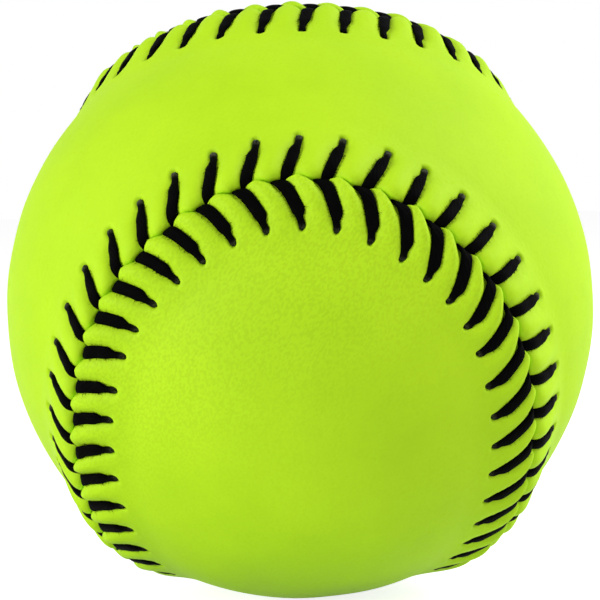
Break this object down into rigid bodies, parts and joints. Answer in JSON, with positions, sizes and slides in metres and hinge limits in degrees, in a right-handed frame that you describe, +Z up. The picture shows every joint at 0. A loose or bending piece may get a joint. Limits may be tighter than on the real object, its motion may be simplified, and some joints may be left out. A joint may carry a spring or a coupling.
{
  "type": "softball",
  "caption": "Round sewn ball: figure-eight leather panels over a moulded foam core, joined by a raised stitched seam; pitched, batted, thrown and caught.",
  "frame": {"origin": "centre of the ball", "axes": "+Z up as the ball lies in the picture, -Y towards its viewer, X across; the seam's symmetry axis lies in the YZ plane, fifty degrees above -Y"},
  "size_m": [0.096, 0.096, 0.0974],
  "materials": {
    "core_foam": "dense moulded polyurethane foam with a dull skin",
    "cement": "dried latex cement, tacky and dull",
    "cover_leather": "dyed optic yellow grain leather with a soft sheen",
    "waxed_thread": "black waxed sewing thread, flattened and matt"
  },
  "bodies": {
    "root": {"core": "core_foam", "cement_coat": "cement", "cover_panel_lower": "cover_leather", "cover_panel_upper": "cover_leather", "sewing_thread_first": "waxed_thread", "sewing_thread_second": "waxed_thread"}
  },
  "joints": []
}
